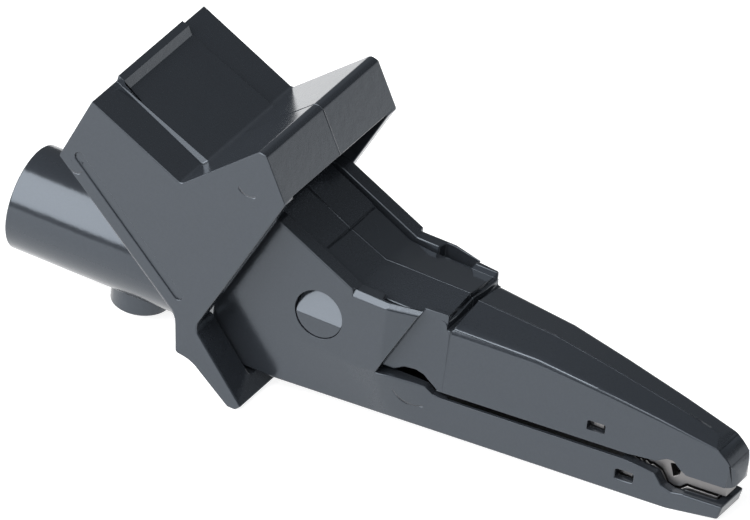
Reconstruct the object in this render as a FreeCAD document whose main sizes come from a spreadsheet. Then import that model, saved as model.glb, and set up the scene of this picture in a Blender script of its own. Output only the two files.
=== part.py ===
import FreeCAD, Part
import math
import operator
import os
import Sketcher
from FreeCAD import Placement, Rotation, Vector

# An insulated crocodile clip for a shrouded 4 mm test plug.
# It is drawn with the plug barrel's axis along X: x runs from the barrel's mouth to the jaw tip,
# z is the height above that axis, and y = 0 is the plane of symmetry.
# At the end every piece is turned and lifted together, so that the clip stands as it does on a
# bench, on the tip of its lower finger guard and on the tip of its lower jaw.

SIZES = [
    ("barrel_diameter", 12.6, "outside of the plug barrel"),
    ("barrel_length", 30.0, "barrel, from its mouth to where it ends inside the body"),
    ("shroud_bore", 9.6, "inside of the barrel, which takes the plug's shroud"),
    ("shroud_depth", 20.0, "depth of the barrel's bore"),
    ("sleeve_diameter", 6.6, "outside of the insulating sleeve on the contact tube"),
    ("sleeve_setback", 1.5, "sleeve's mouth behind the barrel's mouth"),
    ("tube_diameter", 5.2, "outside of the contact tube"),
    ("tube_setback", 2.3, "tube's mouth behind the barrel's mouth"),
    ("tube_length", 21.5, "contact tube, without its tail"),
    ("socket_bore", 4.0, "bore of the contact tube"),
    ("socket_depth", 19.0, "depth of that bore"),
    ("tail_width", 4.4, "flat tail of the contact tube"),
    ("tail_length", 10.5, "flat tail behind the tube"),
    ("tail_thickness", 0.8, "flat tail's thickness"),
    ("boss_diameter", 7.0, "round boss under the barrel"),
    ("boss_x", 15.2, "boss behind the barrel's mouth"),
    ("boss_height", 1.5, "boss below the barrel"),
    ("cheek_width", 16.4, "body over its two cheeks"),
    ("cheek_wall", 2.1, "wall of each cheek"),
    ("cheek_start", 27.0, "rear end of the cheeks"),
    ("belly_taper_x", 37.0, "where the belly starts to narrow"),
    ("belly_drop", 5.0, "underside of the body below the axis"),
    ("floor_wall", 1.4, "floor of the body"),
    ("root_wall", 3.0, "wall between barrel and body"),
    ("pivot_x", 41.6, "pivot from the barrel's mouth"),
    ("pivot_rise", 5.5, "pivot above the axis"),
    ("ear_rear_run", 8.0, "ear's rear corner behind the pivot"),
    ("ear_rear_rise", 10.4, "ear's rear corner above the pivot"),
    ("ear_slope_run", 10.5, "length of the ear's slope along x"),
    ("ear_slope_drop", 5.3, "drop of the ear's slope"),
    ("ear_top_run", 8.0, "flat top of the ear"),
    ("ear_top_rise", 4.7, "flat top of the ear above the pivot"),
    ("ear_foot_setback", 4.3, "foot of the ear's front edge behind its top"),
    ("gap_start_rise", 1.35, "rear end of the jaw gap above the axis"),
    ("hump_x", 53.6, "hump of the jaw gap"),
    ("hump_rise", 2.15, "hump of the upper jaw's edge above the axis"),
    ("jaw_root_x", 56.2, "root of the jaws"),
    ("jaw_length", 35.6, "jaws from their root to their tip"),
    ("jaw_root_width", 12.8, "jaws at their root"),
    ("jaw_tip_width", 5.0, "jaws at their tip"),
    ("jaw_draft", 0.5, "how much each side of the upper jaw leans in, root to top"),
    ("jaw_wall", 1.2, "wall of the jaw covers"),
    ("jaw_gap", 0.7, "gap between the two jaw covers"),
    ("jaw_top_rise", 9.05, "upper jaw at its root above the axis"),
    ("jaw_mid_rise", 7.45, "upper jaw half way along above the axis"),
    ("jaw_tip_rise", 4.2, "upper jaw at its tip above the axis"),
    ("jaw_shoulder", 1.5, "rounding of the upper jaw's top edges, at the root"),
    ("jaw_ridge", 0.8, "ridge of the jaw's top above its edges, at the root"),
    ("tip_chin", 4.2, "lower jaw's chin below the axis"),
    ("chin_length", 7.0, "rise of the chin, behind the tip"),
    ("tip_round", 2.2, "front wall of the upper jaw's tip"),
    ("nose_run", 5.0, "length of the round nose, seen from the side"),
    ("nose", 1.0, "how far the upper jaw's round nose stands past the lower jaw"),
    ("grip_length", 12.2, "toothed stretch at the tip"),
    ("fang_setback", 6.5, "large tooth behind the tip"),
    ("fang_drop", 2.75, "large tooth below the axis"),
    ("fang_half", 1.5, "half width of the large tooth"),
    ("tip_line_drop", 2.0, "where the metal jaws meet at the tip, below the axis"),
    ("tip_sill_drop", 2.45, "lower cover's edge at the tip, below the axis"),
    ("tooth_pitch", 1.2, "fine teeth"),
    ("tooth_height", 0.45, "fine teeth"),
    ("window_length", 2.2, "latch windows"),
    ("window_height", 1.2, "latch windows"),
    ("upper_window_setback", 16.1, "upper latch window behind the tip"),
    ("upper_window_rise", 2.4, "upper latch window above the axis"),
    ("lower_window_setback", 12.0, "lower latch window behind the tip"),
    ("lower_window_drop", 2.6, "lower latch window below the axis"),
    ("lever_width", 25.6, "lever over its two skirts"),
    ("skirt_wall", 2.0, "wall of each skirt"),
    ("pad_wall", 2.2, "thickness of the thumb pad, upright"),
    ("pad_rear_x", 12.4, "rear top corner of the thumb pad"),
    ("pad_rear_rise", 24.5, "rear top corner of the thumb pad above the axis"),
    ("skirt_rear_x", 9.1, "rear corner of the skirts"),
    ("skirt_rear_rise", 15.9, "rear corner of the skirts above the axis"),
    ("skirt_heel_x", 26.0, "lower corner of the skirts"),
    ("skirt_heel_rise", 1.0, "lower corner of the skirts above the axis"),
    ("valley_x", 24.7, "valley of the thumb pad"),
    ("valley_rise", 18.55, "valley of the thumb pad above the axis"),
    ("guard_top_x", 34.0, "top of the upper finger guard"),
    ("guard_top_rise", 26.7, "top of the upper finger guard above the axis"),
    ("guard_land", 0.9, "flat top of the finger guard"),
    ("guard_foot_x", 38.0, "foot of the upper finger guard"),
    ("guard_foot_rise", 21.1, "foot of the upper finger guard above the axis"),
    ("guard_wall", 2.0, "wall of the upper finger guard"),
    ("rear_lip", 3.2, "lip under the pad's rear edge"),
    ("waist_x", 28.6, "inner corner between skirt and lower guard"),
    ("waist_rise", 0.6, "inner corner above the axis"),
    ("collar_heel_drop", 3.5, "heel of the lower guard below the axis"),
    ("collar_tip_x", 34.9, "tip of the lower guard"),
    ("collar_tip_drop", 7.9, "tip of the lower guard below the axis"),
    ("collar_land", 1.0, "flat at the lower guard's tip"),
    ("collar_lip", 0.7, "height of the lower guard's lip"),
    ("collar_clearance", 0.6, "lower guard clear of the body"),
    ("groove_width", 1.1, "groove along the skirt's lower edge"),
    ("groove_depth", 0.22, "depth of that groove"),
    ("groove_inset", 1.7, "groove in from the skirt's edge"),
    ("grip_pad_width", 14.6, "top of the raised middle of the thumb pad"),
    ("grip_pad_height", 0.6, "raised middle of the thumb pad"),
    ("pad_lip", 0.8, "rib along the rear edge of that raised middle"),
    ("deck_width", 11.9, "lever between the ears"),
    ("deck_wall", 1.3, "deck of the lever"),
    ("box_wall", 1.15, "side walls under the deck"),
    ("deck_shoulder_setback", 10.0, "where the deck starts to rise, behind its front edge"),
    ("deck_rise", 9.5, "edges of the deck's level part above the axis"),
    ("deck_ridge", 0.85, "ridge of the deck's level part above its edges"),
    ("peg_diameter", 6.0, "round pegs that turn in the cheeks"),
    ("ear_bevel", 0.5, "slant of the ears' outer top edges"),
    ("ear_edge", 0.6, "wall of the ears along their front edge"),
    ("peg_setback", 0.15, "peg's end inside the cheek's face"),
    ("peg_ramp", 2.0, "depth of the ramp across the upper part of the peg's end"),
    ("running_clearance", 0.05, "radial clearance of everything that turns"),
    ("metal", 0.9, "sheet of the metal jaws"),
    ("cover_clearance", 0.1, "metal jaws inside their covers"),
    ("upper_ear_width", 9.2, "upper metal jaw over its ears"),
    ("lower_ear_width", 7.2, "lower metal jaw over its ears"),
    ("ear_radius", 3.0, "round ears of the metal jaws"),
    ("pin_diameter", 2.4, "pivot pin"),
    ("pin_length", 13.6, "pivot pin"),
    ("bush_diameter", 4.0, "spring bush"),
    ("washer_thickness", 0.4, "washers beside the bush"),
    ("washer_diameter", 5.2, "washers beside the bush"),
    ("wire_diameter", 0.8, "spring wire"),
    ("spring_turns", 4.0, "turns of the spring"),
    ("spring_reach", 6.6, "ends of the spring's legs behind the pivot"),
    ("spring_play", 0.1, "spring on its bush"),
    ("rivet_diameter", 2.0, "rivet of the contact tail"),
    ("rivet_setback", 4.0, "rivet in from the end of the tail"),
    ("rivet_head", 3.4, "head of that rivet"),
]

OPERATIONS = {
    "+": operator.add,
    "-": operator.sub,
    "*": operator.mul,
    "/": operator.truediv,
}


class Size:
    """A length that knows its value and the sheet expression that gives it."""

    def __init__(self, value, text):
        self.value = float(value)
        self.text = text

    def __add__(self, other):
        return combine(self, "+", other)

    def __radd__(self, other):
        return combine(other, "+", self)

    def __sub__(self, other):
        return combine(self, "-", other)

    def __rsub__(self, other):
        return combine(other, "-", self)

    def __mul__(self, other):
        return combine(self, "*", other)

    def __rmul__(self, other):
        return combine(other, "*", self)

    def __truediv__(self, other):
        return combine(self, "/", other)

    def __neg__(self):
        return combine(0, "-", self)


def as_size(number):
    if isinstance(number, Size):
        return number
    return Size(number, f"({number})")


def combine(left, sign, right):
    left = as_size(left)
    right = as_size(right)
    value = OPERATIONS[sign](left.value, right.value)
    return Size(value, f"({left.text} {sign} {right.text})")


doc = FreeCAD.newDocument("crocodile_clip")
sheet = doc.addObject("Spreadsheet::Sheet", "Sizes")
dim = {}
for row, (alias, value, meaning) in enumerate(SIZES, start=1):
    sheet.set(f"A{row}", meaning)
    sheet.set(f"B{row}", str(value))
    sheet.setAlias(f"B{row}", alias)
    dim[alias] = Size(value, f"Sizes.{alias}")
doc.recompute()

UPRIGHT = {
    "X": Rotation(Vector(0, 1, 0), 90),
    "Y": Rotation(Vector(1, 0, 0), -90),
    "Z": Rotation(),
}
SIDE = Rotation(Vector(1, 0, 0), 90)
CROSS = Rotation(Vector(1, 1, 1), 120)
PLAN = Rotation()


def bind(piece, **properties):
    """Tie properties of a document object to the sheet."""
    for name, size in properties.items():
        piece.setExpression(name, as_size(size).text)


def place(piece, x=0, y=0, z=0, rotation=Rotation()):
    """Put a primitive at a point that the sheet gives."""
    x, y, z = as_size(x), as_size(y), as_size(z)
    piece.Placement = Placement(Vector(x.value, y.value, z.value), rotation)
    for axis, size in (("x", x), ("y", y), ("z", z)):
        piece.setExpression(f"Placement.Base.{axis}", size.text)


def sketch_outline(name, corners, rotation=SIDE, x=0, y=0, z=0):
    """A closed outline whose corners are held by the sheet."""
    sketch = doc.addObject("Sketcher::SketchObject", name)
    place(sketch, x, y, z, rotation)
    corners = [(as_size(u), as_size(v)) for u, v in corners]
    points = [Vector(u.value, v.value, 0) for u, v in corners]
    lines = [
        Part.LineSegment(point, points[(i + 1) % len(points)])
        for i, point in enumerate(points)
    ]
    sketch.addGeometry(lines, False)
    for i, (u, v) in enumerate(corners):
        before = (i - 1) % len(corners)
        sketch.addConstraint(Sketcher.Constraint("Coincident", before, 2, i, 1))
        for kind, size in (("DistanceX", u), ("DistanceY", v)):
            index = sketch.addConstraint(Sketcher.Constraint(kind, -1, 1, i, 1, size.value))
            sketch.setExpression(f"Constraints[{index}]", size.text)
    return sketch


def prism(name, corners, width):
    """An outline in the side view, as wide as given about the plane of symmetry."""
    body = doc.addObject("Part::Extrusion", name)
    body.Base = sketch_outline(f"{name}_outline", corners)
    body.DirMode = "Normal"
    body.Symmetric = True
    body.Solid = True
    bind(body, LengthFwd=width)
    return body


def slab(name, half_plan, bottom, height):
    """A plan outline, given as (x, half width) and mirrored, from a height upwards."""
    corners = [(x, half) for x, half in half_plan]
    corners += [(x, -as_size(half)) for x, half in reversed(half_plan)]
    body = doc.addObject("Part::Extrusion", name)
    body.Base = sketch_outline(f"{name}_outline", corners, PLAN, z=bottom)
    body.DirMode = "Normal"
    body.Solid = True
    bind(body, LengthFwd=height)
    return body


def plan_loft(name, levels):
    """A body through mirrored plan outlines, each given with its height."""
    body = doc.addObject("Part::Loft", name)
    body.Sections = [
        sketch_outline(
            f"{name}_level_{i}",
            list(half_plan) + [(x, -as_size(half)) for x, half in reversed(half_plan)],
            PLAN,
            z=height,
        )
        for i, (height, half_plan) in enumerate(levels)
    ]
    body.Solid = True
    body.Ruled = True
    return body


def loft(name, sections):
    """A body through outlines that stand across the clip, each given with its x."""
    body = doc.addObject("Part::Loft", name)
    body.Sections = [
        sketch_outline(f"{name}_section_{i}", corners, CROSS, x=x)
        for i, (x, corners) in enumerate(sections)
    ]
    body.Solid = True
    body.Ruled = True
    return body


def cylinder(name, diameter, length, x, y, z, axis):
    """A cylinder that starts at a point and runs along an axis."""
    body = doc.addObject("Part::Cylinder", name)
    bind(body, Radius=as_size(diameter) / 2, Height=length)
    place(body, x, y, z, UPRIGHT[axis])
    return body


def block(name, x, y, z, length, width, height):
    """A box from its lowest corner."""
    body = doc.addObject("Part::Box", name)
    bind(body, Length=length, Width=width, Height=height)
    place(body, x, y, z)
    return body


def fuse(name, pieces):
    body = doc.addObject("Part::MultiFuse", name)
    body.Shapes = pieces
    body.Refine = True
    return body


def common(name, pieces):
    body = doc.addObject("Part::MultiCommon", name)
    body.Shapes = pieces
    return body


def gather(name, pieces):
    body = doc.addObject("Part::Compound", name)
    body.Links = pieces
    return body


def cut(name, base, tools):
    body = doc.addObject("Part::Cut", name)
    body.Base = base
    body.Tool = tools[0] if len(tools) == 1 else fuse(f"{name}_tools", tools)
    return body


def between(start, end, share):
    """A size part of the way from one to another."""
    return start + (end - start) * share


# Lines and heights that more than one piece shares.
axis_radius = dim["barrel_diameter"] / 2
jaw_root_half = dim["jaw_root_width"] / 2
jaw_tip_half = dim["jaw_tip_width"] / 2
jaw_tip_x = dim["jaw_root_x"] + dim["jaw_length"]
grip_start = jaw_tip_x - dim["grip_length"]
channel_half = dim["cheek_width"] / 2 - dim["cheek_wall"]
deck_half = dim["deck_width"] / 2
box_half = deck_half - dim["box_wall"]
pivot_x = dim["pivot_x"]
pivot_z = dim["pivot_rise"]
ear_top_z = pivot_z + dim["ear_top_rise"]
ear_shoulder_x = pivot_x - dim["ear_rear_run"] + 1.7 + dim["ear_slope_run"]
ear_front_x = ear_shoulder_x + dim["ear_top_run"]
ear_foot_x = ear_front_x - dim["ear_foot_setback"]
deck_front_x = dim["jaw_root_x"]
floor_z = dim["floor_wall"] - dim["belly_drop"]
half_gap = dim["jaw_gap"] / 2
far_down = -dim["collar_tip_drop"] - 10
far_up = dim["guard_top_rise"] + 10
far_front = jaw_tip_x + 10


def jaw_half(x):
    """Half width of the jaws at x."""
    slope = (jaw_tip_half - jaw_root_half) / dim["jaw_length"]
    return jaw_root_half + slope * (as_size(x) - dim["jaw_root_x"])


def sill_line():
    """The lower cover's edge along the slit between the jaws, from the rear to the front."""
    fang_x = jaw_tip_x - dim["fang_setback"]
    hump_x = dim["hump_x"]
    start_z = dim["gap_start_rise"]
    sill_z = -dim["tip_sill_drop"]
    return [
        (ear_foot_x, start_z - 0.4),
        (ear_foot_x + 1.6, start_z - 0.35),
        (hump_x + 0.3, start_z - 0.55),
        (hump_x + 1.6, start_z - 0.73),
        (hump_x + 2.5, half_gap * -0.4),
        (hump_x + 3.5, -half_gap),
        (grip_start, -half_gap),
        (fang_x - 4.2, -half_gap - 0.2),
        (fang_x - 1.9, -half_gap - 0.55),
        (fang_x - 0.9, sill_z + 0.2),
        (fang_x + 0.2, sill_z - 0.2),
        (fang_x + 1.5, sill_z),
    ]


def hood_line():
    """The upper cover's edge along the rear of that slit, from the rear to the front."""
    hump_x = dim["hump_x"]
    return [
        (ear_foot_x - 0.3, dim["gap_start_rise"]),
        (ear_foot_x + 1.7, dim["gap_start_rise"]),
        (hump_x - 1.4, dim["hump_rise"] - 0.15),
        (hump_x - 0.1, dim["hump_rise"]),
        (hump_x + 1.0, dim["hump_rise"] - 0.3),
        (hump_x + 2.3, dim["hump_rise"] - 1.3),
        (hump_x + 3.2, half_gap),
    ]


# Barrel, cheeks and lower jaw cover in one moulding, which everything else is fixed to.

def make_body_shell():
    boss_bottom = -axis_radius - dim["boss_height"]
    outline = [
        (dim["cheek_start"], -dim["belly_drop"]),
        (dim["cheek_start"], axis_radius - 1.5),
        (pivot_x - dim["ear_rear_run"], pivot_z + dim["ear_rear_rise"]),
        (ear_shoulder_x - dim["ear_slope_run"], pivot_z + dim["ear_top_rise"] + dim["ear_slope_drop"]),
        (ear_shoulder_x, ear_top_z + 0.15),
        (ear_front_x, ear_top_z),
    ]
    outline += sill_line()
    outline += [
        (jaw_tip_x, -dim["tip_sill_drop"]),
        (jaw_tip_x - 0.4, -dim["tip_chin"]),
        (jaw_tip_x - dim["chin_length"], -dim["belly_drop"]),
    ]
    solid_height = pivot_z + dim["ear_rear_rise"] + dim["belly_drop"] + 4
    cheek_half = dim["cheek_width"] / 2
    belly_slope = (jaw_half(jaw_tip_x) + 0.1 - cheek_half) / (jaw_tip_x - dim["belly_taper_x"])

    def belly_half(x):
        return cheek_half + belly_slope * (x - dim["belly_taper_x"])

    rear = [(dim["cheek_start"] - 1, axis_radius - 0.4), (dim["cheek_start"] + 1.5, cheek_half)]
    end_x = jaw_tip_x + 1
    belly_plan = rear + [
        (dim["belly_taper_x"], cheek_half),
        (ear_foot_x + 0.5, belly_half(ear_foot_x + 0.5)),
        (dim["jaw_root_x"], belly_half(dim["jaw_root_x"])),
        (end_x, belly_half(end_x)),
    ]
    cheek_plan = rear + [
        (dim["belly_taper_x"], cheek_half),
        (ear_foot_x + 0.5, cheek_half),
        (dim["jaw_root_x"], jaw_root_half),
        (end_x, jaw_half(end_x)),
    ]
    plan = plan_loft(
        "body_plan",
        [
            (-dim["belly_drop"] - 0.1, belly_plan),
            (dim["gap_start_rise"], cheek_plan),
            (pivot_z + dim["ear_rear_rise"] + 4, cheek_plan),
        ],
    )
    cheeks = common("body_cheeks", [prism("body_side", outline, dim["cheek_width"] + 2), plan])
    barrel = cylinder("barrel_outside", dim["barrel_diameter"], dim["barrel_length"], 0, 0, 0, "X")
    boss = cylinder(
        "barrel_boss", dim["boss_diameter"], dim["boss_height"] + 2, dim["boss_x"], 0, boss_bottom, "Z"
    )
    outside = fuse("body_outside", [barrel, boss, cheeks])

    channel_start = dim["shroud_depth"] + dim["root_wall"]
    inner_half = dim["tail_width"] / 2 + 0.8
    channel_plan = slab(
        "channel_plan",
        [
            (channel_start, inner_half),
            (dim["cheek_start"] + 1, inner_half),
            (dim["cheek_start"] + 3.5, channel_half),
            (ear_foot_x, channel_half),
            (dim["jaw_root_x"] + 1, jaw_root_half - dim["jaw_wall"]),
            (jaw_tip_x - dim["jaw_wall"], jaw_tip_half - dim["jaw_wall"]),
        ],
        floor_z,
        solid_height,
    )
    roof_rise = dim["tube_diameter"] / 2
    channel_side = prism(
        "channel_side",
        [
            (channel_start, floor_z),
            (channel_start, roof_rise),
            (dim["cheek_start"] + 3, roof_rise),
            (dim["cheek_start"] + 3, far_up),
            (far_front, far_up),
            (far_front, floor_z),
        ],
        dim["cheek_width"],
    )
    channel = common("body_channel", [channel_side, channel_plan])
    saddle = block(
        "channel_saddle",
        dim["cheek_start"] - 2,
        -channel_half,
        axis_radius + 0.3,
        7,
        channel_half * 2,
        far_up,
    )
    between_ears = block(
        "between_ears",
        pivot_x,
        -channel_half,
        dim["hump_rise"] + 0.3,
        dim["jaw_length"],
        channel_half * 2,
        far_up,
    )
    edge_half = cheek_half - dim["ear_edge"] - 0.25
    ear_relief = slab(
        "ear_relief",
        [
            (ear_foot_x - 0.8, channel_half),
            (ear_foot_x - 0.5, edge_half),
            (ear_foot_x + 0.5, edge_half),
            (ear_front_x + 0.1, jaw_root_half + 0.1),
            (deck_front_x + 1.5, jaw_root_half + 0.1),
        ],
        dim["gap_start_rise"] - 0.3,
        far_up,
    )
    slot_start, slot_end = dim["jaw_root_x"] + 1.5, grip_start - 0.5
    slot_recess = slab(
        "slot_recess",
        [(slot_start, jaw_half(slot_start) - 0.5), (slot_end, jaw_half(slot_end) - 0.5)],
        -half_gap - 0.9,
        2,
    )
    bevels = []
    bevel_start = (ear_shoulder_x - 0.3, cheek_half)
    bevel_turn = (ear_foot_x + 0.5, cheek_half)
    bevel_end = (dim["jaw_root_x"], jaw_root_half)
    for part, ends in enumerate([(bevel_start, bevel_turn), (bevel_turn, bevel_end)]):
        for side in (-1, 1):
            sections = []
            for x, half in ends:
                edge = half - dim["ear_bevel"]
                corners = [
                    (edge + 1.5, ear_top_z - 1.5),
                    (edge + 1.5, ear_top_z + 1),
                    (edge - 1, ear_top_z + 1),
                ]
                sections.append((x, [(y * side, z) for y, z in corners]))
            bevels.append(loft(f"ear_bevel_{part}_{'near' if side < 0 else 'far'}", sections))
    shroud = cylinder("shroud_space", dim["shroud_bore"], dim["shroud_depth"], 0, 0, 0, "X")
    tube_hole = cylinder(
        "tube_hole", dim["tube_diameter"], dim["root_wall"] + 2, dim["shroud_depth"] - 1, 0, 0, "X"
    )
    pivot_hole = cylinder(
        "pivot_hole",
        dim["peg_diameter"] + dim["running_clearance"] * 2,
        dim["cheek_width"] + 2,
        pivot_x,
        -dim["cheek_width"] / 2 - 1,
        pivot_z,
        "Y",
    )
    window = block(
        "lower_window",
        jaw_tip_x - dim["lower_window_setback"] - dim["window_length"] / 2,
        -dim["cheek_width"] / 2,
        -dim["lower_window_drop"] - dim["window_height"] / 2,
        dim["window_length"],
        dim["cheek_width"],
        dim["window_height"],
    )
    spaces = [channel, saddle, between_ears, ear_relief, shroud, tube_hole, pivot_hole, window, slot_recess]
    spaces += bevels
    return cut("body_shell", outside, spaces)


# Thumb pad, skirts, both finger guards, deck and upper jaw cover in the moving moulding.

def skirt_corners():
    return [
        (dim["pad_rear_x"], dim["pad_rear_rise"]),
        (dim["skirt_rear_x"], dim["skirt_rear_rise"]),
        (dim["skirt_heel_x"], dim["skirt_heel_rise"]),
        (dim["waist_x"], dim["waist_rise"]),
        (dim["guard_foot_x"], dim["guard_foot_rise"]),
        (dim["guard_top_x"] + dim["guard_land"], dim["guard_top_rise"] - 0.2),
        (dim["guard_top_x"], dim["guard_top_rise"]),
        (dim["valley_x"], dim["valley_rise"]),
    ]


def make_skirts():
    solid = prism("skirt_side", skirt_corners(), dim["lever_width"])
    inside = block(
        "skirt_inside",
        0,
        dim["skirt_wall"] - dim["lever_width"] / 2,
        far_down,
        far_front,
        dim["lever_width"] - dim["skirt_wall"] * 2,
        far_up - far_down,
    )
    return cut("skirts", solid, [inside])


def make_pad():
    lean = (dim["pad_rear_x"] - dim["skirt_rear_x"]) / (dim["pad_rear_rise"] - dim["skirt_rear_rise"])
    lip_x = dim["pad_rear_x"] - lean * dim["rear_lip"]
    lip_z = dim["pad_rear_rise"] - dim["rear_lip"]
    corners = [
        (dim["pad_rear_x"], dim["pad_rear_rise"]),
        (lip_x, lip_z),
        (lip_x + dim["skirt_wall"], lip_z),
        (dim["pad_rear_x"] + dim["skirt_wall"], dim["pad_rear_rise"] - dim["pad_wall"] - 0.9),
        (dim["valley_x"], dim["valley_rise"] - dim["pad_wall"]),
        (dim["guard_top_x"], dim["guard_top_rise"] - dim["pad_wall"]),
        (dim["guard_foot_x"] - dim["guard_wall"], dim["guard_foot_rise"] - 0.3),
        (dim["guard_foot_x"], dim["guard_foot_rise"]),
        (dim["guard_top_x"] + dim["guard_land"], dim["guard_top_rise"] - 0.2),
        (dim["guard_top_x"], dim["guard_top_rise"]),
        (dim["valley_x"], dim["valley_rise"]),
    ]
    return prism("pad", corners, dim["lever_width"] - dim["skirt_wall"])


def make_grip_pad():
    """The raised middle of the rear slope, which grows from nothing towards the valley."""
    start_x = between(dim["pad_rear_x"], dim["valley_x"], 0.06)
    start_z = between(dim["pad_rear_rise"], dim["valley_rise"], 0.06)
    height = dim["grip_pad_height"]
    corners = [
        (start_x, start_z - 0.5),
        (dim["valley_x"] + height * 0.8, dim["valley_rise"] - 0.6),
        (dim["valley_x"] + height * 1.55, dim["valley_rise"] + height * 0.35),
        (start_x + 0.1, start_z + 0.1),
    ]
    half = dim["grip_pad_width"] / 2
    sections = []
    for x, top in (corners[3], corners[2]):
        low = top - 1.2
        sections.append((x, [(-half - 0.9, low), (half + 0.9, low), (half, top + 0.05), (-half, top + 0.05)]))
    side = prism("grip_pad_side", corners, dim["grip_pad_width"] + 3)
    return common("grip_pad", [side, loft("grip_pad_sides", sections)])


def make_pad_lip():
    """The rib that the thumb meets at the rear edge."""
    rear_x = dim["pad_rear_x"]
    rear_z = dim["pad_rear_rise"]
    lip = dim["pad_lip"]
    corners = [
        (rear_x + 0.05, rear_z - 0.8),
        (rear_x + 0.05, rear_z - 0.1),
        (rear_x + 0.15, rear_z + lip),
        (rear_x + 1.0, rear_z + lip * 0.6),
        (rear_x + 1.75, rear_z - 0.85),
        (rear_x + 1.6, rear_z - 1.6),
    ]
    return prism("pad_rib", corners, dim["grip_pad_width"])


def make_collar():
    corners = [
        (dim["skirt_heel_x"], dim["skirt_heel_rise"]),
        (dim["skirt_heel_x"] + 0.5, -dim["collar_heel_drop"]),
        (dim["skirt_heel_x"] + 2.65, -dim["collar_heel_drop"] - 0.35),
        (dim["collar_tip_x"] - dim["collar_land"], -dim["collar_tip_drop"]),
        (dim["collar_tip_x"], -dim["collar_tip_drop"]),
        (dim["collar_tip_x"] + 0.7, dim["collar_lip"] - dim["collar_tip_drop"]),
        (dim["waist_x"], dim["waist_rise"]),
    ]
    solid = prism("collar_side", corners, dim["lever_width"])
    slot_half = dim["cheek_width"] / 2 + 0.3
    slot = block(
        "collar_slot",
        0,
        -slot_half,
        -dim["belly_drop"] - dim["collar_clearance"],
        far_front,
        slot_half * 2,
        far_up,
    )
    return cut("collar", solid, [slot])


def deck_line(x, lower=0):
    """Height of the deck's slope at x, moved down."""
    shoulder_x = deck_front_x - dim["deck_shoulder_setback"]
    slope = dim["ear_slope_drop"] / dim["ear_slope_run"]
    return dim["deck_rise"] - lower + slope * (shoulder_x - x)


def pad_middle(x):
    """Height of the middle of the guard's plate at x."""
    slope = (dim["guard_top_rise"] - dim["valley_rise"]) / (dim["guard_top_x"] - dim["valley_x"])
    return dim["valley_rise"] - dim["pad_wall"] / 2 + slope * (x - dim["valley_x"])


def make_deck():
    shoulder_x = deck_front_x - dim["deck_shoulder_setback"]
    neck_start = dim["valley_x"] + 0.8
    neck_end = neck_start + 3.6
    outline = [
        (neck_start, pad_middle(neck_start)),
        (neck_end, pad_middle(neck_end)),
        (neck_end, deck_line(neck_end)),
        (shoulder_x, dim["deck_rise"]),
        (deck_front_x, dim["deck_rise"]),
        (deck_front_x + 0.9, dim["jaw_top_rise"]),
        (deck_front_x + 0.9, half_gap),
    ]
    outline += list(reversed(hood_line()))
    outline += [
        (ear_foot_x - 3, dim["gap_start_rise"] + 0.75),
        (pivot_x - 1, pivot_z - 4.3),
        (pivot_x - 5, pivot_z - 2.6),
        (pivot_x - 9, pivot_z + 3.5),
        (neck_end + 1, deck_line(neck_end, 3.4)),
    ]
    solid = prism("deck_side", outline, dim["deck_width"])
    heights = [
        (shoulder_x - 6, deck_line(shoulder_x - 6), as_size(0.02)),
        (shoulder_x - 1, deck_line(shoulder_x - 1), dim["deck_ridge"] * 0.35),
        (shoulder_x + 2, dim["deck_rise"], dim["deck_ridge"]),
        (deck_front_x, dim["deck_rise"], dim["deck_ridge"]),
    ]
    ridge = loft(
        "deck_ridge",
        [(x, ridge_section(deck_half, height - 0.4, height, ridge)) for x, height, ridge in heights],
    )
    return fuse("deck", [solid, ridge])


def make_root_cheeks():
    """The upper jaw's cheeks, which start under the thin front edges of the ears."""
    outline = hood_line() + [
        (deck_front_x + 0.9, half_gap),
        (deck_front_x + 0.9, dim["jaw_top_rise"] - 1.1),
        (deck_front_x + 0.4, ear_top_z + 0.2),
        (ear_front_x - 0.1, ear_top_z + 0.2),
        (ear_front_x - 0.4, ear_top_z - 0.3),
    ]
    sides = loft(
        "root_cheek_sides",
        [(x, cover_sides(x, dim["jaw_top_rise"] + 3)) for x in (ear_foot_x - 1, deck_front_x + 0.9)],
    )
    sheets = common("root_cheek_solid", [prism("root_cheek_side", outline, dim["cheek_width"]), sides])
    between_sheets = block(
        "root_cheek_middle",
        ear_foot_x - 2,
        -deck_half + 0.5,
        dim["deck_rise"] - 0.8,
        deck_front_x - ear_foot_x + 4,
        deck_half * 2 - 1,
        far_up,
    )
    return cut("root_cheeks", sheets, [between_sheets])


def cover_sides(x, top):
    """The upper jaw cover's leaning sides at x, up to a height."""
    bottom = as_size(-4)
    lean = dim["jaw_draft"] / (dim["jaw_top_rise"] - bottom)
    half = jaw_half(x)
    top_half = half - lean * (top - bottom)
    return [(-half, bottom), (half, bottom), (top_half, top), (-top_half, top)]


def ridge_section(half, bottom, top, ridge):
    """A low roof across the clip."""
    return [
        (-half, bottom),
        (half, bottom),
        (half, top),
        (as_size(0), top + ridge),
        (-half, top),
    ]


def hood_section(x, rise):
    """The upper cover across x: leaning sides, rounded top edges and a low ridge."""
    rear_low, low, high = cover_sides(x, rise)[:3]
    size = jaw_half(x) / jaw_root_half
    radius = dim["jaw_shoulder"] * size * size
    ridge = dim["jaw_ridge"] * size
    start = (high[0] + (low[0] - high[0]) * 0.05, high[1] - radius)
    end = (high[0] - radius, high[1] + ridge * 0.13)
    bend = []
    for share in (0, 0.25, 0.5, 0.75, 1):
        first, middle, last = (1 - share) ** 2, 2 * share * (1 - share), share**2
        bend.append(tuple(start[i] * first + high[i] * middle + end[i] * last for i in (0, 1)))
    mirrored = [(-y, z) for y, z in reversed(bend)]
    return [rear_low, low] + bend + [(as_size(0), high[1] + ridge)] + mirrored


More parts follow.
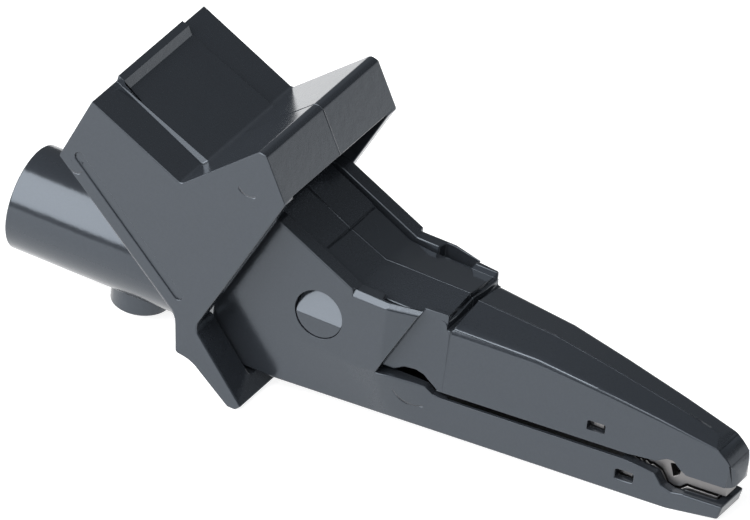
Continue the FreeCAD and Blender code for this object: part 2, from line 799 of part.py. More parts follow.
def make_upper_jaw_cover():
    """The tapered hood of the upper jaw, with its slit line and tip."""
    stations = [
        (deck_front_x + 0.2, dim["jaw_top_rise"]),
        (deck_front_x + 0.9, dim["jaw_top_rise"]),
        (dim["jaw_root_x"] + dim["jaw_length"] * 0.32, between(dim["jaw_top_rise"], dim["jaw_mid_rise"], 0.28)),
        (dim["jaw_root_x"] + dim["jaw_length"] * 0.53, dim["jaw_mid_rise"]),
        (dim["jaw_root_x"] + dim["jaw_length"] * 0.76, between(dim["jaw_mid_rise"], dim["jaw_tip_rise"], 0.44)),
        (jaw_tip_x + dim["nose"] + 0.2, dim["jaw_tip_rise"] - 0.15),
    ]
    hood = loft("jaw_hood", [(x, hood_section(x, rise)) for x, rise in stations])
    fang_x = jaw_tip_x - dim["fang_setback"]
    nose_x = jaw_tip_x + dim["nose"]
    tip_z = dim["jaw_tip_rise"]
    outline = [
        (deck_front_x - 1, half_gap),
        (deck_front_x - 1, far_up),
        (nose_x - dim["nose_run"], far_up),
    ]
    start = (nose_x - dim["nose_run"], tip_z + 1.45)
    bend = (nose_x - 0.3, tip_z - 0.15)
    for step in range(10):
        share = step / 9
        first, middle, last = (1 - share) ** 2, 2 * share * (1 - share), share**2
        outline.append((start[0] * first + bend[0] * middle + nose_x * last, start[1] * first + bend[1] * middle + last))
    outline += [
        (nose_x, as_size(0.5)),
        (nose_x - 0.3, as_size(0)),
        (fang_x + 1.7, as_size(0)),
        (fang_x + 0.9, half_gap + 0.15),
        (fang_x, half_gap + 1.0),
        (fang_x - 0.8, half_gap + 1.0),
        (fang_x - 2.0, half_gap + 0.3),
        (grip_start, half_gap),
    ]
    plan = [(deck_front_x - 4, dim["cheek_width"] / 2), (nose_x - 1.9, dim["cheek_width"] / 2)]
    for degrees in (75, 60, 45, 30, 16, 5):
        turn = math.radians(degrees)
        plan.append((nose_x + 1.5 * (math.cos(turn) - 1), jaw_tip_half * math.sin(turn)))
    nose = slab("nose_plan", plan, far_down, far_up - far_down)
    side = prism("jaw_hood_side", outline, dim["cheek_width"])
    return common("jaw_hood_trimmed", [hood, side, nose])


def make_lever_cavity():
    """The open space under the deck and inside the upper jaw cover."""
    shoulder_x = deck_front_x - dim["deck_shoulder_setback"]
    start_x = pivot_x - 10.5
    slope_wall = dim["deck_wall"] + 0.15
    space_bottom = 0.5 - dim["belly_drop"]
    outline = [
        (start_x, deck_line(start_x, slope_wall)),
        (shoulder_x, dim["deck_rise"] - slope_wall),
        (deck_front_x, dim["jaw_top_rise"] - dim["jaw_wall"]),
        (dim["jaw_root_x"] + dim["jaw_length"] * 0.53, dim["jaw_mid_rise"] - dim["jaw_wall"]),
        (jaw_tip_x - dim["tip_round"], dim["jaw_tip_rise"] - dim["jaw_wall"]),
        (jaw_tip_x - dim["tip_round"], space_bottom),
        (start_x, space_bottom),
    ]
    side = prism("lever_space_side", outline, dim["deck_width"])
    plan = slab(
        "lever_space_plan",
        [
            (start_x, box_half),
            (deck_front_x - 2, box_half),
            (deck_front_x + 1.5, jaw_half(deck_front_x + 1.5) - dim["jaw_wall"]),
            (jaw_tip_x - dim["jaw_wall"], jaw_tip_half - dim["jaw_wall"]),
        ],
        far_down,
        far_up - far_down,
    )
    return common("lever_space", [side, plan])


def make_pegs():
    """Two round pegs with a ramp across each end, which ride in the cheeks."""
    reach = dim["cheek_width"] / 2 - dim["peg_setback"]
    rod = cylinder("peg_rod", dim["peg_diameter"], reach * 2, pivot_x, -reach, pivot_z, "Y")
    gap = block(
        "peg_gap",
        pivot_x - dim["peg_diameter"],
        -box_half,
        pivot_z - dim["peg_diameter"],
        dim["peg_diameter"] * 2,
        box_half * 2,
        dim["peg_diameter"] * 2,
    )
    radius = dim["peg_diameter"] / 2
    wedge_corners = [
        (reach + 1, pivot_z - 0.7),
        (reach, pivot_z - 0.7),
        (reach - dim["peg_ramp"], pivot_z + radius + 0.3),
        (reach + 1, pivot_z + radius + 0.3),
    ]
    tools = [gap]
    for side, sign in (("near", -1), ("far", 1)):
        corners = [(y * sign, z) for y, z in wedge_corners]
        ends = (pivot_x - radius - 0.5, pivot_x + radius + 0.5)
        tools.append(loft(f"peg_wedge_{side}", [(x, corners) for x in ends]))
    return cut("pegs", rod, tools)


def make_grooves():
    """The groove in each skirt beside its lower rear edge."""
    rear = (dim["skirt_rear_x"], dim["skirt_rear_rise"])
    heel = (dim["skirt_heel_x"], dim["skirt_heel_rise"])
    run = (heel[0] - rear[0]).value
    fall = (rear[1] - heel[1]).value
    length = math.hypot(run, fall)
    across = (fall / length, run / length)
    inner = dim["groove_inset"]
    outer = dim["groove_inset"] + dim["groove_width"]
    starts = [(rear[0] + inner * across[0] + 0.6, rear[1] + inner * across[1] - 0.5)]
    ends = [(heel[0] + inner * across[0] - 1.0, heel[1] + inner * across[1] + 0.9)]
    ends += [(heel[0] + outer * across[0] - 1.0, heel[1] + outer * across[1] + 0.9)]
    starts += [(rear[0] + outer * across[0] + 0.6, rear[1] + outer * across[1] - 0.5)]
    corners = [starts[0], ends[0], ends[1], starts[1]]
    solid = prism("groove_side", corners, dim["lever_width"] + 2)
    middle = block(
        "groove_middle",
        0,
        dim["groove_depth"] - dim["lever_width"] / 2,
        far_down,
        far_front,
        dim["lever_width"] - dim["groove_depth"] * 2,
        far_up - far_down,
    )
    return cut("grooves", solid, [middle])


def make_lever_shell():
    outside = fuse(
        "lever_outside",
        [
            make_skirts(),
            make_pad(),
            make_grip_pad(),
            make_pad_lip(),
            make_collar(),
            make_deck(),
            make_root_cheeks(),
            make_upper_jaw_cover(),
        ],
    )
    hollow = cut("lever_hollow", outside, [make_lever_cavity()])
    with_pegs = fuse("lever_with_pegs", [hollow, make_pegs()])
    pin_bore = cylinder(
        "lever_pin_bore",
        dim["pin_diameter"] + dim["running_clearance"] * 2,
        dim["pin_length"] + 0.2,
        pivot_x,
        -dim["pin_length"] / 2 - 0.1,
        pivot_z,
        "Y",
    )
    window = block(
        "upper_window",
        jaw_tip_x - dim["upper_window_setback"] - dim["window_length"] / 2,
        -dim["cheek_width"] / 2,
        dim["upper_window_rise"] - dim["window_height"] / 2,
        dim["window_length"],
        dim["cheek_width"],
        dim["window_height"],
    )
    step_groove = block(
        "step_groove",
        deck_front_x + 0.45,
        -dim["cheek_width"] / 2,
        dim["jaw_top_rise"] - 0.5,
        0.65,
        dim["cheek_width"],
        4,
    )
    return cut("lever_shell", with_pegs, [make_grooves(), pin_bore, window, step_groove])


# Stamped metal jaws, bent to a channel, whose edges meet as teeth at the tip.

def tooth_line(offset, share):
    """Fine teeth, the large tooth and the straight bite, from the rear to the tip."""
    fang_x = jaw_tip_x - dim["fang_setback"]
    fine_end = fang_x - dim["fang_half"] * 1.9
    points = []
    count = 3
    for i in range(count):
        x = grip_start + 0.6 + (fine_end - grip_start - 0.8) * (i / count)
        points.append((x, offset - 0.25))
        points.append((x + dim["tooth_pitch"] / 2, offset - 0.25 - dim["tooth_height"] * share))
    points += [
        (fine_end, offset - 0.5),
        (fang_x - dim["fang_half"] * 1.1, offset - 1.0),
        (fang_x - dim["fang_half"] * 0.5, offset - dim["fang_drop"] * 0.9),
        (fang_x, offset - dim["fang_drop"]),
        (fang_x + dim["fang_half"] * 0.45, offset - dim["fang_drop"] * 0.95),
        (fang_x + dim["fang_half"], offset - dim["fang_drop"] * 0.7),
        (fang_x + dim["fang_half"] * 1.6, offset - dim["tip_line_drop"]),
    ]
    return points


def jaw_plan(ear_width, inset):
    """Half plan of a metal jaw, from its tail to its tip."""
    cover_half = jaw_root_half - dim["jaw_wall"] - dim["cover_clearance"]
    tip_half = jaw_tip_half - dim["jaw_wall"] - dim["cover_clearance"]
    return [
        (dim["cheek_start"] - 3, ear_width / 2 - inset),
        (ear_foot_x - 1, ear_width / 2 - inset),
        (dim["jaw_root_x"] + 1.5, cover_half - inset - 0.25),
        (jaw_tip_x - 0.3, tip_half - inset),
    ]


def ear_outline(start_z, end_x, end_z):
    """The rounded ear of a metal jaw over the pivot, from the rear to the front."""
    radius = dim["ear_radius"]
    return [
        (pivot_x - radius, start_z),
        (pivot_x - radius, pivot_z + radius * 0.3),
        (pivot_x - radius * 0.7, pivot_z + radius * 0.7),
        (pivot_x, pivot_z + radius * 0.87),
        (pivot_x + radius * 0.7, pivot_z + radius * 0.62),
        (end_x, end_z),
    ]


def latch(name, setback, height):
    """A tongue bent out of each wall of a metal jaw into its cover's window."""
    x = jaw_tip_x - setback
    reach = jaw_half(x) - dim["jaw_wall"] * 0.8
    inner = jaw_half(x) - dim["jaw_wall"] - 0.8
    length = dim["window_length"] - 0.8
    thick = dim["window_height"] - 0.5
    tongues = []
    for side, sign in (("near", -1), ("far", 1)):
        low = inner if sign > 0 else -reach
        tongues.append(
            block(f"{name}_{side}", x - length / 2, low, height - thick / 2, length, reach - inner, thick)
        )
    return tongues


def make_lower_jaw():
    gap = 0.16
    top_z = -half_gap - 1.3
    outline = [
        (dim["cheek_start"] + 1.9, floor_z + 0.1),
        (dim["cheek_start"] + 1.9, floor_z + 0.1 + dim["metal"]),
        (pivot_x - dim["ear_radius"] - 2, floor_z + 0.1 + dim["metal"]),
    ]
    outline += ear_outline(pivot_z - 3, pivot_x + dim["ear_radius"], pivot_z)
    outline += [
        (pivot_x + dim["ear_radius"] + 2.5, top_z + 1.0),
        (dim["jaw_root_x"], top_z),
        (grip_start, top_z),
    ]
    outline += tooth_line(-as_size(gap), 1.0)
    behind_lip = jaw_tip_x - dim["jaw_wall"] - dim["cover_clearance"]
    outline += [
        (behind_lip, -dim["tip_line_drop"] - gap),
        (behind_lip, floor_z + 0.5),
        (behind_lip - 0.4, floor_z + 0.1),
    ]
    plan = slab("lower_jaw_plan", jaw_plan(dim["lower_ear_width"], as_size(0)), far_down, far_up - far_down)
    solid = common("lower_jaw_solid", [prism("lower_jaw_side", outline, dim["cheek_width"]), plan])
    trough_z = floor_z + 0.1 + dim["metal"]
    trough = slab(
        "lower_jaw_trough",
        jaw_plan(dim["lower_ear_width"], dim["metal"])[:-1] + [(jaw_tip_x - 3.2, as_size(0.35))],
        trough_z,
        far_up,
    )
    hollow = cut("lower_jaw_hollow", solid, [trough])
    tongues = latch("lower_tongue", dim["lower_window_setback"], -dim["lower_window_drop"])
    joined = fuse("lower_jaw_joined", [hollow] + tongues)
    bore = cylinder(
        "lower_jaw_bore", dim["pin_diameter"], dim["cheek_width"], pivot_x, -dim["cheek_width"] / 2, pivot_z, "Y"
    )
    rivet_hole = cylinder("lower_jaw_rivet_hole", dim["rivet_diameter"], 4, rivet_x(), 0, floor_z - 1, "Z")
    return cut("lower_jaw", joined, [bore, rivet_hole])


def make_upper_jaw():
    web = dim["metal"]
    gap = 0.16
    behind_lip = jaw_tip_x - dim["tip_round"] - dim["cover_clearance"]
    under_lip = -dim["cover_clearance"]
    outline = [
        (pivot_x - dim["ear_radius"] * 0.7, pivot_z - dim["ear_radius"] * 0.8),
    ]
    outline += ear_outline(pivot_z, dim["jaw_root_x"] - 4, dim["jaw_top_rise"] - 2.2)
    outline += [
        (dim["jaw_root_x"] + dim["jaw_length"] * 0.5, dim["jaw_mid_rise"] - 2.0),
        (behind_lip - 0.8, dim["jaw_tip_rise"] - 1.5),
        (behind_lip, dim["jaw_tip_rise"] - 2.1),
        (behind_lip, under_lip),
        (jaw_tip_x - 0.3, under_lip),
        (jaw_tip_x - 0.3, gap - dim["tip_line_drop"]),
    ]
    outline += list(reversed(tooth_line(as_size(gap), 1.0)))
    outline += [
        (grip_start, half_gap + 1.3),
        (dim["jaw_root_x"] + 1, half_gap + 1.3),
        (dim["hump_x"] - 1, dim["hump_rise"] + half_gap + 0.4),
        (pivot_x + dim["ear_radius"], pivot_z - dim["ear_radius"] * 0.8),
    ]
    plan = slab("upper_jaw_plan", jaw_plan(dim["upper_ear_width"], as_size(0)), far_down, far_up - far_down)
    solid = common("upper_jaw_solid", [prism("upper_jaw_side", outline, dim["cheek_width"]), plan])
    inside_outline = [
        (dim["cheek_start"], far_down),
        (dim["cheek_start"], far_up),
        (dim["jaw_root_x"] - 4, far_up),
        (dim["jaw_root_x"] - 4, dim["jaw_top_rise"] - 2.2 - web),
        (dim["jaw_root_x"] + dim["jaw_length"] * 0.5, dim["jaw_mid_rise"] - 2.0 - web),
        (jaw_tip_x - dim["tip_round"] - 1.5, dim["jaw_tip_rise"] - 1.5 - web),
        (jaw_tip_x - dim["tip_round"] - 1.5, far_down),
    ]
    inside_side = prism("upper_jaw_inside_side", inside_outline, dim["cheek_width"])
    inside_plan = slab(
        "upper_jaw_inside_plan",
        jaw_plan(dim["upper_ear_width"], dim["metal"])[:-1] + [(jaw_tip_x - 3.2, as_size(0.35))],
        far_down - 1,
        far_up - far_down + 2,
    )
    inside = common("upper_jaw_inside", [inside_side, inside_plan])
    hollow = cut("upper_jaw_hollow", solid, [inside])
    tongues = latch("upper_tongue", dim["upper_window_setback"], dim["upper_window_rise"])
    joined = fuse("upper_jaw_joined", [hollow] + tongues)
    bore = cylinder(
        "upper_jaw_bore",
        dim["pin_diameter"] + dim["running_clearance"] * 2,
        dim["cheek_width"],
        pivot_x,
        -dim["cheek_width"] / 2,
        pivot_z,
        "Y",
    )
    fang_x = jaw_tip_x - dim["fang_setback"]
    eye_corners = [
        (fang_x - 0.8, as_size(0.2)),
        (fang_x + 0.6, as_size(0.4)),
        (fang_x + 0.4, as_size(-0.9)),
        (fang_x - 0.3, as_size(-1.4)),
    ]
    eye = prism("fang_eye", eye_corners, dim["jaw_root_width"])
    return cut("upper_jaw", joined, [bore, eye])


# Contact tube with its flat tail, the sleeve on it and the rivet through the tail.

def tail_start():
    return dim["tube_setback"] + dim["tube_length"]


def tail_top():
    return floor_z + 0.1 + dim["metal"] + dim["tail_thickness"]


def rivet_x():
    return tail_start() + dim["tail_length"] - dim["rivet_setback"]


def make_contact_tube():
    tube = cylinder("tube_outside", dim["tube_diameter"], dim["tube_length"], dim["tube_setback"], 0, 0, "X")
    tail = block(
        "tube_tail",
        tail_start() - 0.7,
        -dim["tail_width"] / 2,
        tail_top() - dim["tail_thickness"],
        dim["tail_length"] + 0.7,
        dim["tail_width"],
        dim["tail_thickness"],
    )
    web = block(
        "tube_web",
        tail_start() - 0.7,
        -dim["tail_width"] / 2,
        tail_top() - dim["tail_thickness"],
        0.7,
        dim["tail_width"],
        dim["tube_diameter"] / 2,
    )
    bore = cylinder("tube_bore", dim["socket_bore"], dim["socket_depth"], dim["tube_setback"], 0, 0, "X")
    hole = cylinder("tail_hole", dim["rivet_diameter"], 3, rivet_x(), 0, tail_top() - 2, "Z")
    joined = fuse("tube_joined", [tube, tail, web])
    return cut("contact_tube", joined, [bore, hole])


def make_socket_sleeve():
    length = dim["shroud_depth"] - dim["sleeve_setback"]
    outside = cylinder("sleeve_outside", dim["sleeve_diameter"], length, dim["sleeve_setback"], 0, 0, "X")
    bore = cylinder("sleeve_bore", dim["tube_diameter"], length + 2, dim["sleeve_setback"] - 1, 0, 0, "X")
    return cut("socket_sleeve", outside, [bore])


def make_contact_rivet():
    bottom = floor_z + 0.1
    shank = cylinder("rivet_shank", dim["rivet_diameter"], tail_top() - bottom, rivet_x(), 0, bottom, "Z")
    head = doc.addObject("Part::Cone", "rivet_dome")
    bind(head, Radius1=dim["rivet_head"] / 2, Radius2=dim["rivet_head"] / 4, Height=0.6)
    place(head, rivet_x(), 0, tail_top(), UPRIGHT["Z"])
    return fuse("contact_rivet", [shank, head])


# Pivot: pin, bush, washers and the closing spring wound on the bush.

def bush_half():
    ear_inner = dim["lower_ear_width"] / 2 - dim["metal"]
    return ear_inner - dim["washer_thickness"]


def make_pivot_pin():
    """A pin with a small chamfer at each end."""
    half = dim["pin_length"] / 2
    radius = dim["pin_diameter"] / 2
    corners = [
        (as_size(0), -half),
        (radius - 0.3, -half),
        (radius, 0.3 - half),
        (radius, half - 0.3),
        (radius - 0.3, half),
        (as_size(0), half),
    ]
    pin = doc.addObject("Part::Revolution", "pivot_pin_turned")
    pin.Source = sketch_outline("pivot_pin_profile", corners, PLAN, pivot_x, 0, pivot_z)
    pin.Axis = Vector(0, 1, 0)
    pin.Angle = 360
    pin.Solid = True
    place_axis(pin)
    return gather("pivot_pin", [pin])


def place_axis(turned):
    """Turn about the pivot."""
    turned.setExpression("Base.x", pivot_x.text)
    turned.setExpression("Base.z", pivot_z.text)


def ring(name, outer, inner, start, length):
    body = cylinder(f"{name}_outside", outer, length, pivot_x, start, pivot_z, "Y")
    hole = cylinder(f"{name}_hole", inner, length + 2, pivot_x, start - 1, pivot_z, "Y")
    return cut(name, body, [hole])


def make_spring_bush():
    return ring("spring_bush", dim["bush_diameter"], dim["pin_diameter"], -bush_half(), bush_half() * 2)


def make_pivot_washers():
    thickness = dim["washer_thickness"]
    near = ring("near_washer", dim["washer_diameter"], dim["pin_diameter"], -bush_half() - thickness, thickness)
    far = ring("far_washer", dim["washer_diameter"], dim["pin_diameter"], bush_half(), thickness)
    return fuse("pivot_washers", [near, far])


def make_torsion_spring():
    """A coil on the bush, with one leg on the lower jaw's floor and one under the lever's deck."""
    wire = dim["wire_diameter"].value / 2
    coil = dim["bush_diameter"].value / 2 + dim["spring_play"].value + wire
    reach = dim["spring_reach"]
    under_deck = deck_line(pivot_x - reach, dim["deck_wall"] + 0.15) - pivot_z
    floor_top = floor_z + 0.1 + dim["metal"] - pivot_z
    foot = Vector(-reach.value, 0, floor_top.value + wire + 0.05)
    hand = Vector(-reach.value, 0, under_deck.value - wire * 1.2)
    lower_start = math.atan2(foot.z, foot.x) + math.acos(coil / foot.Length)
    upper_start = math.atan2(hand.z, hand.x) - math.acos(coil / hand.Length)
    swept = math.tau * dim["spring_turns"].value + upper_start - lower_start
    height = bush_half().value * 2 - wire * 2 - 0.1
    helix = Part.makeHelix(height * math.tau / swept, height, coil)
    middle = Vector(pivot_x.value, height / 2, pivot_z.value)
    stand_up = Placement(middle, Rotation(Vector(1, 0, 0), 90))
    helix.Placement = stand_up.multiply(Placement(Vector(), Rotation(Vector(0, 0, 1), math.degrees(lower_start))))
    lower_joint = helix.Edges[0].Vertexes[0].Point
    upper_joint = helix.Edges[-1].Vertexes[-1].Point
    foot_end = Vector(middle.x + foot.x, lower_joint.y, middle.z + foot.z)
    hand_end = Vector(middle.x + hand.x, upper_joint.y, middle.z + hand.z)
    path = Part.Wire(
        [Part.makeLine(foot_end, lower_joint)] + helix.Edges + [Part.makeLine(upper_joint, hand_end)]
    )
    section = Part.Wire(Part.makeCircle(wire, foot_end, lower_joint - foot_end))
    spring = doc.addObject("Part::Feature", "torsion_spring")
    spring.Shape = path.makePipeShell([section], True, False)
    return spring


pieces = {
    "body_shell": make_body_shell(),
    "lever_shell": make_lever_shell(),
    "lower_jaw": make_lower_jaw(),
    "upper_jaw": make_upper_jaw(),
    "contact_tube": make_contact_tube(),
    "socket_sleeve": make_socket_sleeve(),
    "contact_rivet": make_contact_rivet(),
    "pivot_pin": make_pivot_pin(),
    "spring_bush": make_spring_bush(),
    "pivot_washers": make_pivot_washers(),
    "torsion_spring": make_torsion_spring(),
}
doc.recompute()

# Stand the clip on its lower guard and on the heel of its lower jaw, centred over the origin.
rest_run = (jaw_tip_x - dim["chin_length"] - dim["collar_tip_x"]).value
rest_drop = (dim["collar_tip_drop"] - dim["belly_drop"]).value
lean = Rotation(Vector(0, 1, 0), math.degrees(math.atan2(rest_drop, rest_run)))
everything = Part.makeCompound([piece.Shape for piece in pieces.values()])
everything.Placement = Placement(Vector(), lean)
room = everything.optimalBoundingBox(False)
stand = Placement(Vector(-(room.XMin + room.XMax) / 2, 0, -room.ZMin), lean)
for piece in pieces.values():
    piece.Placement = stand.multiply(piece.Placement)
doc.recompute()
for thing in doc.Objects:
    bad = {"Invalid", "Error"} & set(thing.State)
    if bad:
        raise RuntimeError(f"{thing.Name} failed: {sorted(bad)}")
for name, piece in pieces.items():
    if piece.Shape.isNull() or not piece.Shape.isValid():
        raise RuntimeError(f"{name} has no valid shape")
    piece.Label = name
os.makedirs("parts", exist_ok=True)
for name, piece in pieces.items():
    piece.Shape.exportStep(f"parts/{name}.step")
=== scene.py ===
"""Crocodile clip: two black mouldings with their plated metal jaws, on a pale floor."""

import math

import bmesh
import bpy
from mathutils import Matrix, Vector


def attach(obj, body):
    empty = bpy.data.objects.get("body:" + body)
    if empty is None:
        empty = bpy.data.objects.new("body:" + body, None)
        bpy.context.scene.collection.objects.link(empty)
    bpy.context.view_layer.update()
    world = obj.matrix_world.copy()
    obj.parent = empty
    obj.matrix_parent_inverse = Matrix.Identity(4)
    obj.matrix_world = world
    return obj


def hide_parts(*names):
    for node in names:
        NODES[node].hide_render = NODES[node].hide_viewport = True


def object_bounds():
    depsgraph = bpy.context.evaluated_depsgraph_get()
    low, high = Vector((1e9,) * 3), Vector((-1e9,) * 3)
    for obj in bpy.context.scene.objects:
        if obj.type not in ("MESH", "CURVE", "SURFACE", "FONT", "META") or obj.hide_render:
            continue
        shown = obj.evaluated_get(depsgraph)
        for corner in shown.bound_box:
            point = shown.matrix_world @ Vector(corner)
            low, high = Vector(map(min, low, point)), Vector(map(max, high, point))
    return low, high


bl_info = {
    "name": "Crocodile clip",
    "version": (1, 0, 0),
    "blender": (4, 5, 0),
    "location": "3D View > Sidebar > Clip",
    "description": "Insulated crocodile clip for a shrouded test plug",
    "category": "Object",
}

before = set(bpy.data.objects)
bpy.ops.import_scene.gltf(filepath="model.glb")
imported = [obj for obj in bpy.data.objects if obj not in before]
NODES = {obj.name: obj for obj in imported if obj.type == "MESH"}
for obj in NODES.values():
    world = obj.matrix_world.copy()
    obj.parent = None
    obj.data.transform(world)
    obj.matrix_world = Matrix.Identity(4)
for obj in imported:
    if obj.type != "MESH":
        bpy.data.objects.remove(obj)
cad_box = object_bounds()

MM = 0.001
IMAGE_WIDTH = 750
IMAGE_HEIGHT = 520
SENSOR_WIDTH = 36.0
WHITE = (1, 1, 1)

# The photograph's view: its angles round and above the clip, its roll and its scale.
VIEW_AZIMUTH = math.radians(27.4)
VIEW_ELEVATION = math.radians(31.5)
VIEW_ROLL = math.radians(3.83)
VIEW_DISTANCE = 2.6
PIXELS_PER_MM = 8.856

# A point in the middle of the clip, and the pixel where the photograph shows it.
PHOTO_POINT = Vector((-0.439 * MM, 0, 12 * MM))
PHOTO_POINT_PIXEL = (383.4, 301.0)

# How the clip stands: nose down by this angle, with its barrel's mouth at this place.
LEAN = math.radians(3.32607)
BARREL_MOUTH = Vector((-46.1659 * MM, 0, 9.91153 * MM))

# Places on the clip in mm: along the barrel's axis, above it and out from the middle.
PAD_FRONT = 24
PAD_BOTTOM = 12
PAD_HALF_WIDTH = 8.5
PAD_LONGEST_EDGE = 16
LIP_FRONT = 14.5
LIP_BOTTOM = 18
GUARD_FRONT = 33.5
PEG = (41.6, 5.5)
PEG_REACH = 4.5
PEG_INNER_END = 6.4
PEG_REAR = 36
PEG_FRONT = 47
HOOD_FRONT = 50
HOOD_BOTTOM = 7
HOOD_HALF_WIDTH = 5.9
UPPER_GAP_REAR = 56
UPPER_GAP_TOP = 3
LOWER_GAP_REAR = 57
LOWER_GAP_BOTTOM = -1.5
LINE_REAR = (26, 15)
LINE_FRONT = (88, 5)

# Marks of the mould on the near side: an arc's rear, middle and front, and its width.
JAW_MARK = ((51.5, -0.8), (53.4, -2.3), (55.2, -2.1), 0.14)
GUARD_MARK = ((31.9, 21.2), (33.0, 20.4), (34.2, 20.6), 0.14)
SKIRT_MARK = ((10.7, 16.0), (11.3, 14.45), (12.2, 14.9), 0.12)
MARK_DEPTH = 0.1 * MM
MARK_MARGIN = 0.1 * MM

# How a CAD node's triangles are joined up.
JOIN_DISTANCE = 0.06 * MM
SPECK_LENGTH = 0.01 * MM
FLAT_ANGLE = math.radians(0.3)

# Which edges are rounded: every sharp one, and a slight crease between wide faces.
SHARP_ANGLE = math.radians(24)
CREASE_ANGLE = math.radians(7)
CREASE_FACE_WIDTH = 1.2 * MM
ROUNDING_SHARE = 0.45
LEAST_ROUNDING = 0.03 * MM

# How much of an edge runs across the clip, from none at 0 to all at 1.
ALL_ACROSS = 0.99
MOSTLY_ACROSS = 0.9
HALF_ACROSS = 0.5

# Roundings of the small pieces' edges.
SHEET_EDGE = 0.1 * MM
TURNED_EDGE = 0.12 * MM
RIVET_EDGE = 0.1 * MM
WASHER_EDGE = 0.05 * MM
BUSH_EDGE = 0.08 * MM

# The gloss of the moulded plastic.
GLOSS_TINT = (0.8, 0.89, 1.0)
GLOSS_LEVEL = 0.8

# The studio, with its lengths in metres.
LAMP_AIM = Vector((0, 0, 0.01))
FLOOR_HALF_SIDE = 3
VIEW_END = 10
FLOOR_COLOR = (0.5, 0.5, 0.5)
FLOOR_GLOW = 0.85
SKY_COLOR = (0.9, 0.95, 1.0)
SKY_STRENGTH = 0.15


class Wire:
    """A shader socket that takes part in Python sums."""

    def __init__(self, tree, socket):
        self.tree = tree
        self.socket = socket

    def sum(self, operation, first, second):
        return self.tree.add(
            "ShaderNodeMath", {"operation": operation}, {0: first, 1: second}
        )

    def __add__(self, other):
        return self.sum("ADD", self, other)

    def __radd__(self, other):
        return self.sum("ADD", other, self)

    def __sub__(self, other):
        return self.sum("SUBTRACT", self, other)

    def __rsub__(self, other):
        return self.sum("SUBTRACT", other, self)

    def __mul__(self, other):
        return self.sum("MULTIPLY", self, other)

    def __rmul__(self, other):
        return self.sum("MULTIPLY", other, self)

    def __truediv__(self, other):
        return self.sum("DIVIDE", self, other)

    def __abs__(self):
        return self.tree.add("ShaderNodeMath", {"operation": "ABSOLUTE"}, {0: self})

    def over(self, limit):
        """1 where the value is above a limit, 0 elsewhere."""
        return self.sum("GREATER_THAN", self, limit)

    def clamped(self):
        """The value, kept from 0 to 1."""
        return self.tree.add(
            "ShaderNodeClamp", {}, {"Value": self, "Min": 0.0, "Max": 1.0}
        )


